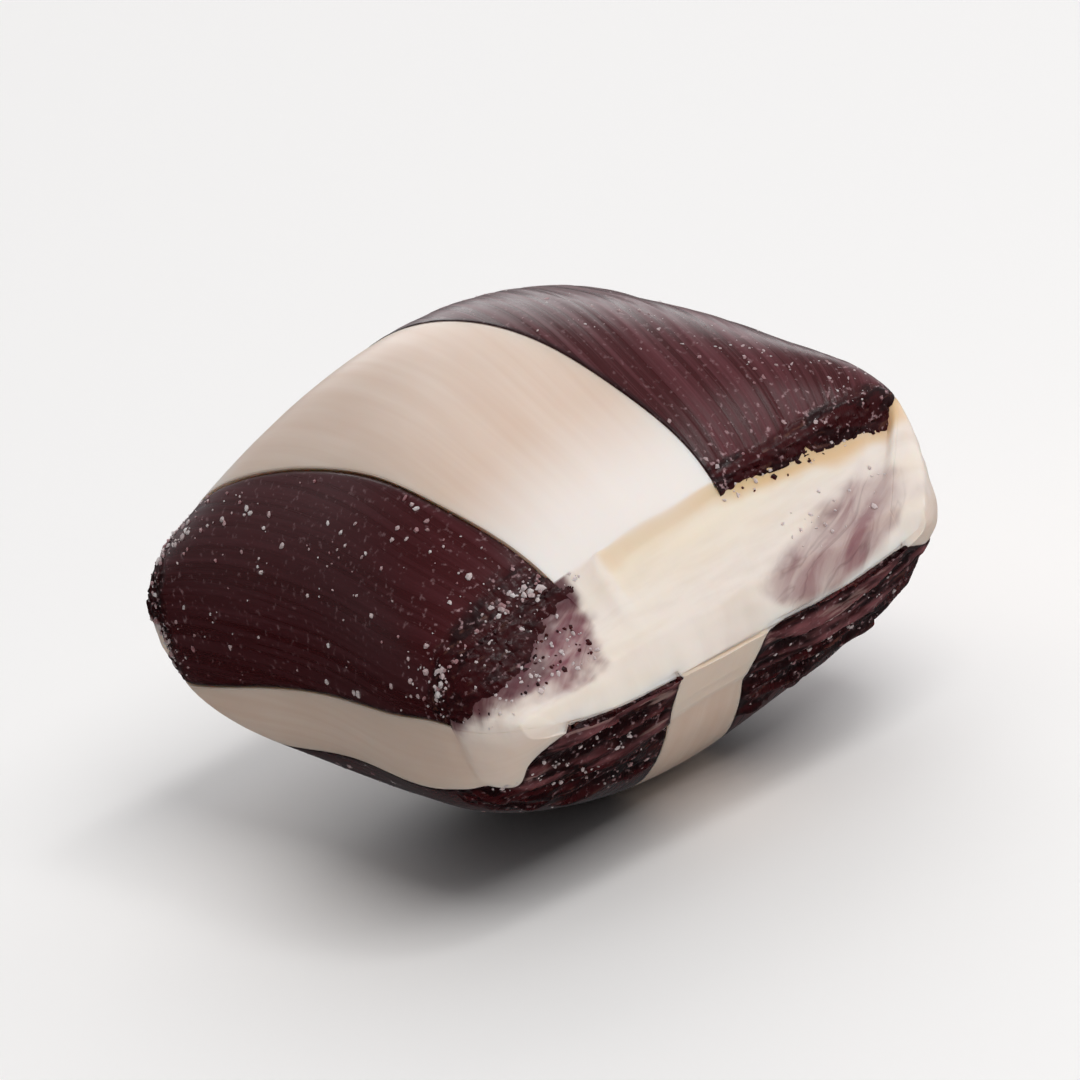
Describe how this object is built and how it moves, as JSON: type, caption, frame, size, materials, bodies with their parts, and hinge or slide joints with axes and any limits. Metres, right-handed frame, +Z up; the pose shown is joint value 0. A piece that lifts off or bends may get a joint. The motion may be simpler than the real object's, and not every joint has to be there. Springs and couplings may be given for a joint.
{
  "type": "mint humbug",
  "caption": "Pillow-shaped boiled sweet of white pulled sugar with dark stripes, creased and pinched off at both ends.",
  "frame": {"origin": "on the surface that the sweet lies on, under the middle of its bounding box", "axes": "+X along the sugar rope towards the pinched end that faces the camera, +Y along the pinch lines, +Z up"},
  "size_m": [0.0212, 0.0184, 0.0148],
  "materials": {
    "white_sugar": "satin ivory pulled sugar, slightly translucent",
    "dark_sugar": "glossy dark brown boiled sugar, finely ribbed"
  },
  "bodies": {
    "root": {"white_body": "white_sugar", "dark_stripe_top_right": "dark_sugar", "dark_stripe_top_left": "dark_sugar", "dark_stripe_bottom_left": "dark_sugar", "dark_stripe_bottom_right": "dark_sugar"}
  },
  "joints": []
}
